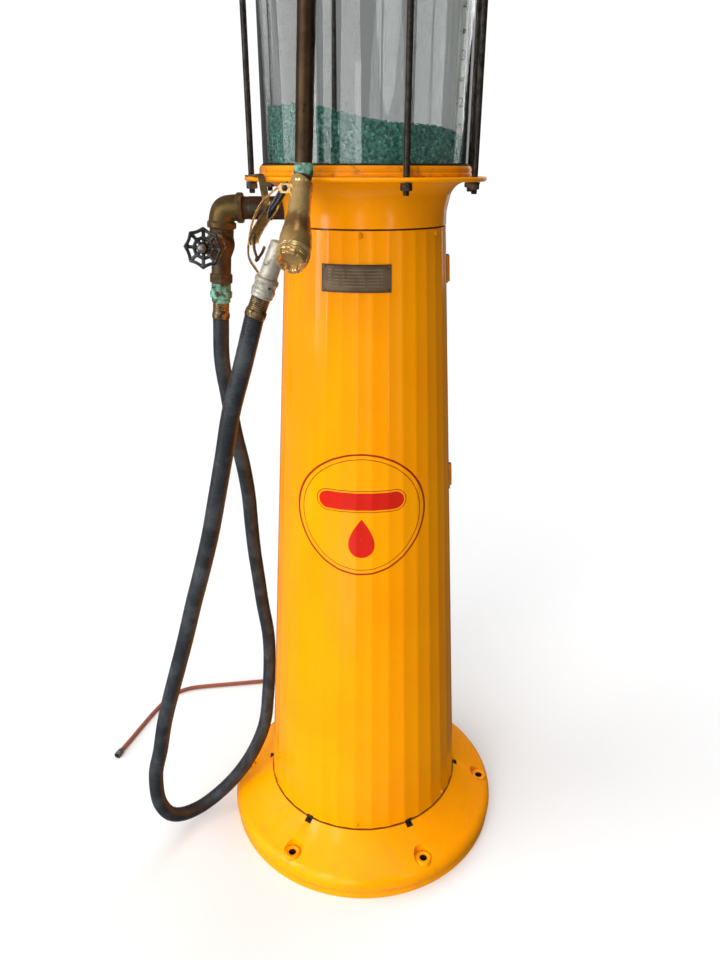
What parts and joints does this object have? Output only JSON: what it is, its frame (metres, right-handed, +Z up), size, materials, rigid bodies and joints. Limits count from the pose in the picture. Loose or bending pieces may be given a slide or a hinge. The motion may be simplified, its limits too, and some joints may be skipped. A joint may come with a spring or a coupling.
{
  "type": "gas pump",
  "caption": "Visible gas pump: fluted column, glass measuring cylinder between tie-rod flanges, hand pump inside, gate valve, hose and hand nozzle, plain lamp globe on top.",
  "frame": {"origin": "centre of the anchor bolt circle on the floor", "axes": "+Z up the column; the front with the nameplate faces -Y; the hose hangs at -X"},
  "size_m": [1.023, 0.7919, 2.648],
  "materials": {
    "paint_yellow": "gloss, worn",
    "aged_steel": "weathered",
    "bronze_dark": "aged, brown",
    "nozzle_brass": "worn, satin",
    "verdigris_brass": "verdigris",
    "pot_metal": "dull grey",
    "black_iron": "black enamel",
    "hose_rubber": "ribbed, matte",
    "gasket_rubber": "matte",
    "clear_glass": "clear",
    "milk_glass": "opal, gloss",
    "granule_glass": "crushed, rough",
    "gauge_white": "matte enamel",
    "plate_bronze": "etched, dull",
    "grip_rubber": "matte",
    "cord_cover": "matte, reddish brown",
    "zinc": "dull zinc"
  },
  "bodies": {
    "stand": {"base_casting": "paint_yellow", "column_shell": "paint_yellow", "column_screws": "bronze_dark", "door_hinge_leaves": "paint_yellow", "door_hinge_pins": "aged_steel", "inner_frame": "black_iron", "neck_casting": "paint_yellow", "glass_seat_ring": "paint_yellow", "glass_gaskets": "gasket_rubber", "glass_cylinder": "clear_glass", "gauge_strip": "gauge_white", "display_granules": "granule_glass", "tie_rods": "aged_steel", "rod_nuts": "aged_steel", "rod_washers": "aged_steel", "crown_casting": "paint_yellow", "globe_collar": "nozzle_brass", "globe": "milk_glass", "lamp_socket": "nozzle_brass", "lamp_bulb": "milk_glass", "suction_pipe": "aged_steel", "riser_pipe": "aged_steel", "pump_body": "black_iron", "pump_cover": "black_iron", "pump_cover_bolts": "aged_steel", "discharge_nipple": "bronze_dark", "discharge_elbow": "bronze_dark", "valve_body": "bronze_dark", "valve_bonnet": "bronze_dark", "packing_nut": "nozzle_brass", "hose_union": "verdigris_brass", "upper_hose_tail": "nozzle_brass", "discharge_hose": "hose_rubber", "lower_hose_tail": "nozzle_brass", "nozzle_swivel": "pot_metal", "nozzle_body": "nozzle_brass", "nozzle_cap": "nozzle_brass", "nozzle_spout": "bronze_dark", "nozzle_lever_pin": "zinc", "nozzle_guard": "bronze_dark", "nozzle_spring": "zinc", "nozzle_hook": "bronze_dark", "nameplate": "plate_bronze", "nameplate_rivets": "nozzle_brass", "supply_cord": "cord_cover", "cord_coupling": "zinc", "cord_gland": "aged_steel"},
    "door": {"access_door": "paint_yellow", "door_hinge_knuckles": "paint_yellow", "door_pull": "nozzle_brass"},
    "pump_handle": {"pump_wing": "nozzle_brass", "pump_shaft": "zinc", "pump_lever": "black_iron", "lever_grip": "grip_rubber"},
    "valve_wheel": {"valve_stem": "nozzle_brass", "handwheel": "black_iron", "handwheel_nut": "zinc"},
    "valve_gate": {"valve_gate": "nozzle_brass"},
    "nozzle_lever": {"nozzle_lever": "nozzle_brass"},
    "nozzle_valve": {"nozzle_valve": "nozzle_brass"}
  },
  "joints": [
    {"name": "pump_handle_swing", "type": "hinge", "parent": "stand", "child": "pump_handle", "pos_m": [0, 0.06, 0.9], "axis": [0, 1, 0], "range_deg": [-40, 40]},
    {"name": "door_swing", "type": "hinge", "parent": "stand", "child": "door", "pos_m": [0.17779, 0.02816, 1.1], "axis": [0.0585, 0.0093, -0.9982], "range_deg": [0, 110]},
    {"name": "valve_wheel_turn", "type": "hinge", "parent": "stand", "child": "valve_wheel", "pos_m": [-0.27869, 0, 1.38321], "axis": [-0.1559, -0.9877, 0.0123], "range_deg": [0, 1080]},
    {"name": "valve_gate_lift", "type": "slide", "parent": "stand", "child": "valve_gate", "axis": [-0.1559, -0.9877, 0.0123], "range_m": [0, 0.027]},
    {"name": "nozzle_lever_squeeze", "type": "hinge", "parent": "stand", "child": "nozzle_lever", "pos_m": [-0.126, -0.252, 1.49], "axis": [0, -1, 0], "range_deg": [0, 4.5], "stiffness_Nm_per_rad": 4, "springref_deg": -17.19},
    {"name": "nozzle_valve_lift", "type": "slide", "parent": "stand", "child": "nozzle_valve", "axis": [-0.103, -0.4211, -0.9012], "range_m": [0, 0.006], "deforming": ["nozzle_spring"]}
  ],
  "couplings": [
    {"joint": "valve_gate_lift", "follows": "valve_wheel_turn", "m_per_rad": 0.001432},
    {"joint": "nozzle_valve_lift", "follows": "nozzle_lever_squeeze", "m_per_rad": 0.0763}
  ]
}
